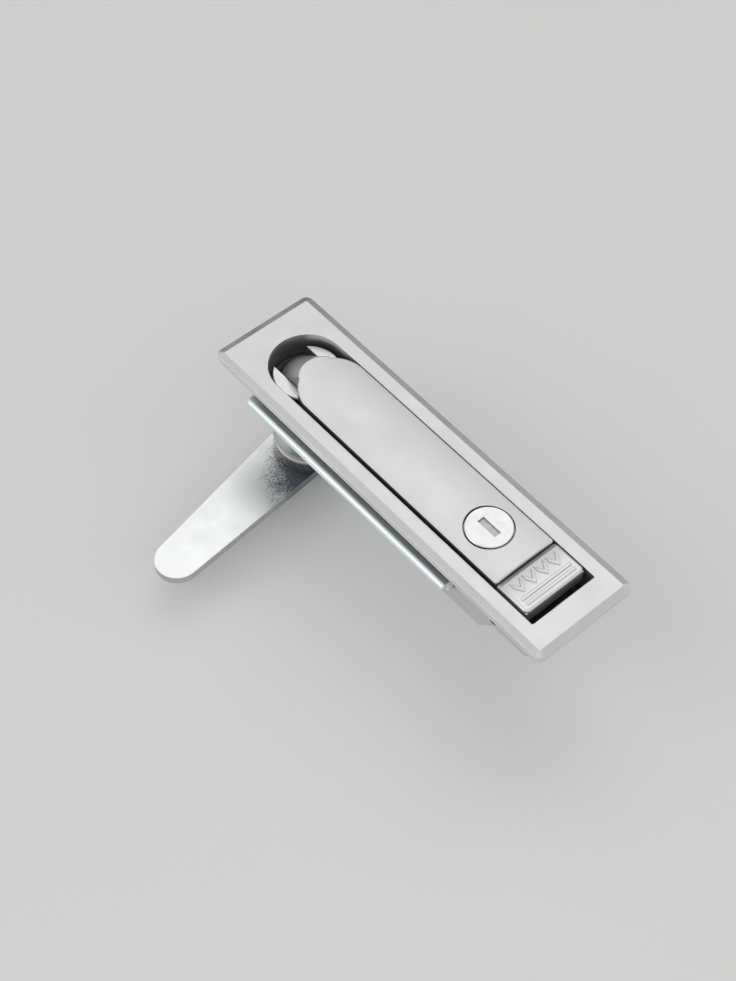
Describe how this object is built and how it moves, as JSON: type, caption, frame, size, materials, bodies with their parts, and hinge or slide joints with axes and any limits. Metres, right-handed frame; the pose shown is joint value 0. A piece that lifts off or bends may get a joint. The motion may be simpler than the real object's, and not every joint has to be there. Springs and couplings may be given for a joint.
{
  "type": "swing handle lock",
  "caption": "Flush swing handle lock for a cabinet door: lift-up handle with a key cylinder, push button release, bent clamping bracket and a flat turning locking arm.",
  "frame": {"origin": "centre of the front plate, in the plane of its back face, which seats on the front of the door sheet", "axes": "+Z out of the door towards the user; +Y along the lock from the push button to the handle's hinge end; +X to the right for a user who sees the hinge end at the top"},
  "size_m": [0.092, 0.15, 0.0552],
  "materials": {
    "lock_enamel": "satin silver-grey enamel on die-cast zinc",
    "handle_enamel": "satin silver-grey enamel on die-cast zinc",
    "button_enamel": "satin silver-grey enamel on die-cast zinc",
    "rotor_metal": "satin chrome on die-cast zinc",
    "cylinder_chrome": "satin chrome",
    "cylinder_zinc": "plain die-cast zinc",
    "wafer_brass": "stamped brass",
    "shutter_steel": "dull stainless steel",
    "spindle_steel": "zinc-plated steel",
    "arm_zinc": "bright zinc-plated steel",
    "bracket_zinc": "blue-white zinc-plated steel",
    "fastener_zinc": "bright zinc-plated steel",
    "ring_nickel": "dull nickel plate on brass",
    "seal_rubber": "matt black",
    "spring_steel": "spring steel"
  },
  "bodies": {
    "base": {"housing": "lock_enamel", "rotor_head": "rotor_metal", "hinge_pin": "spindle_steel", "hinge_spring": "spring_steel", "button_pin": "spindle_steel", "button_spring": "spring_steel", "clamp_bracket": "bracket_zinc", "bracket_washers": "fastener_zinc", "bracket_screws": "fastener_zinc"},
    "handle": {"handle": "handle_enamel", "lock_barrel": "cylinder_zinc", "barrel_clip": "spring_steel"},
    "plug": {"key_plug": "cylinder_chrome", "dust_shutter": "shutter_steel", "key_wafers": "wafer_brass", "tail_cam": "fastener_zinc", "tail_screw": "fastener_zinc"},
    "button": {"push_button": "button_enamel"},
    "spindle": {"spindle": "spindle_steel", "spindle_seal": "seal_rubber", "neck_ring": "ring_nickel", "cam_arm": "arm_zinc", "cam_washer": "fastener_zinc", "cam_spring_washer": "fastener_zinc", "cam_nut": "fastener_zinc"}
  },
  "joints": [
    {"name": "handle_lift", "type": "hinge", "parent": "base", "child": "handle", "pos_m": [0, 0.0516, -0.0035], "axis": [-1, 0, 0], "range_deg": [0, 35]},
    {"name": "key_turn", "type": "hinge", "parent": "handle", "child": "plug", "pos_m": [0, -0.0331, 0], "axis": [0, 0, -1], "range_deg": [0, 90]},
    {"name": "button_press", "type": "hinge", "parent": "base", "child": "button", "pos_m": [0, -0.0529, -0.0062], "axis": [1, 0, 0], "range_deg": [0, 12], "stiffness_Nm_per_rad": 0.15, "springref_deg": -11.46, "deforming": ["button_spring"]},
    {"name": "spindle_turn", "type": "hinge", "parent": "base", "child": "spindle", "pos_m": [0, 0.0516, -0.0351], "axis": [0, 0, 1], "range_deg": [-9, 81]}
  ]
}
